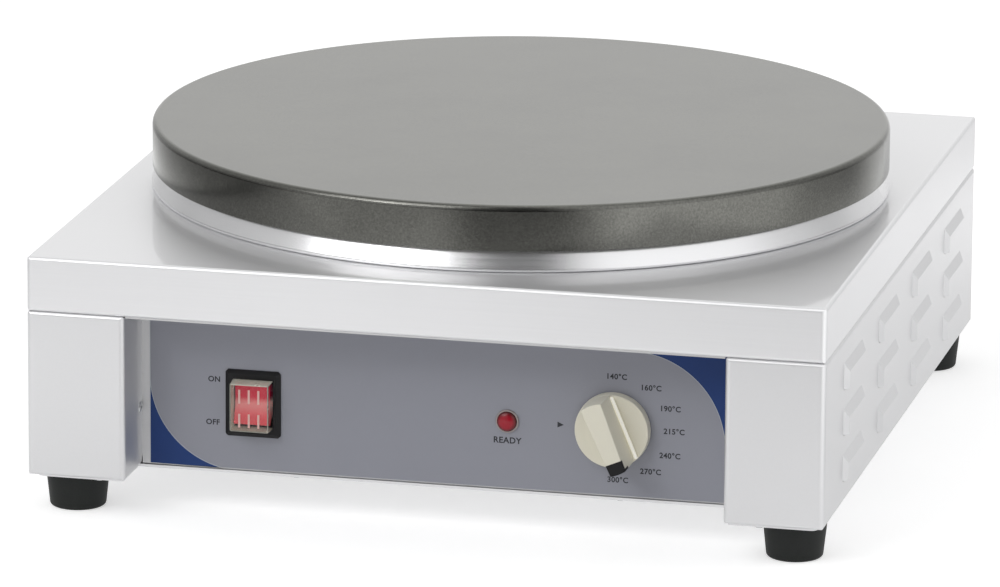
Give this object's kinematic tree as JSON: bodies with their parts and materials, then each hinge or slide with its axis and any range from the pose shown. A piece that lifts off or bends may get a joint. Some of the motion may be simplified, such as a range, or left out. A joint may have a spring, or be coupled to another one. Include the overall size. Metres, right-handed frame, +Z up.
{
  "type": "electric crepe maker",
  "caption": "Countertop electric crepe maker: a round cast-iron hot plate on a louvred stainless-steel body, with a rocker switch, pilot lamp and thermostat knob.",
  "frame": {"origin": "on the hot plate's axis, level with the table under the feet", "axes": "+Z up, -Y towards the user at the front, +X towards the user's right"},
  "size_m": [0.4322, 0.454, 0.1761],
  "materials": {
    "stainless": "satin",
    "galvanised": "spangled zinc",
    "zinc_steel": "bright zinc",
    "cast_iron": "seasoned, machined top",
    "element_sheath": "heat-darkened",
    "fibre": "soft",
    "copper": "drawn",
    "overlay_print": "fine matt print",
    "black_plastic": "fine grain",
    "red_plastic": "translucent gloss",
    "red_lens": "translucent gloss",
    "clear_plastic": "clear gloss",
    "plated_ring": "polished",
    "cream_plastic": "semi-gloss",
    "pale_plastic": "matt",
    "terminal_brass": "plain",
    "lead_brown_blue": "smooth insulation",
    "lead_earth": "smooth insulation",
    "lead_white": "glass-fibre sleeve",
    "lead_black": "smooth insulation",
    "lead_grey": "smooth insulation",
    "foot_rubber": "matt"
  },
  "bodies": {
    "machine": {"top_cover": "stainless", "collar_ring": "stainless", "collar_screws": "zinc_steel", "hot_plate": "cast_iron", "plate_studs": "zinc_steel", "stud_nuts": "zinc_steel", "heating_element": "element_sheath", "element_clamp_plate": "galvanised", "insulation_pad": "fibre", "insulation_pan": "galvanised", "sensor_bulb": "copper", "bulb_clip": "galvanised", "bulb_clip_screw": "zinc_steel", "capillary_tube": "copper", "front_rail": "galvanised", "rear_rail": "galvanised", "frame_screws": "zinc_steel", "frame_nuts": "zinc_steel", "left_side_panel": "stainless", "right_side_panel": "stainless", "rear_panel": "stainless", "rear_screws": "zinc_steel", "base_plate": "stainless", "base_screws": "zinc_steel", "control_panel": "stainless", "panel_overlay": "overlay_print", "panel_screws": "zinc_steel", "panel_rivets": "zinc_steel", "switch_housing": "black_plastic", "switch_terminals": "terminal_brass", "switch_cover": "clear_plastic", "lamp_bezel": "plated_ring", "lamp_lens": "red_lens", "thermostat_body": "pale_plastic", "thermostat_terminals": "terminal_brass", "thermostat_screws": "zinc_steel", "cable_gland": "black_plastic", "gland_cap": "black_plastic", "gland_nut": "black_plastic", "terminal_block": "pale_plastic", "terminal_screws": "zinc_steel", "block_screws": "zinc_steel", "earth_screw": "terminal_brass", "supply_leads": "lead_brown_blue", "earth_lead": "lead_earth", "element_leads": "lead_white", "switch_lead": "lead_black", "lamp_leads": "lead_grey", "front_left_foot": "foot_rubber", "front_right_foot": "foot_rubber", "rear_left_foot": "foot_rubber", "rear_right_foot": "foot_rubber", "foot_screws": "zinc_steel", "foot_nuts": "zinc_steel"},
    "knob": {"control_knob": "cream_plastic", "knob_pointer": "black_plastic", "thermostat_shaft": "zinc_steel"},
    "rocker": {"switch_rocker": "red_plastic"}
  },
  "joints": [
    {"name": "knob_turn", "type": "hinge", "parent": "machine", "child": "knob", "pos_m": [0.095, -0.1974, 0.0594], "axis": [0, 1, 0], "range_deg": [-247, 20]},
    {"name": "switch_rock", "type": "hinge", "parent": "machine", "child": "rocker", "pos_m": [-0.0995, -0.1904, 0.0594], "axis": [1, 0, 0], "range_deg": [0, 18]}
  ]
}
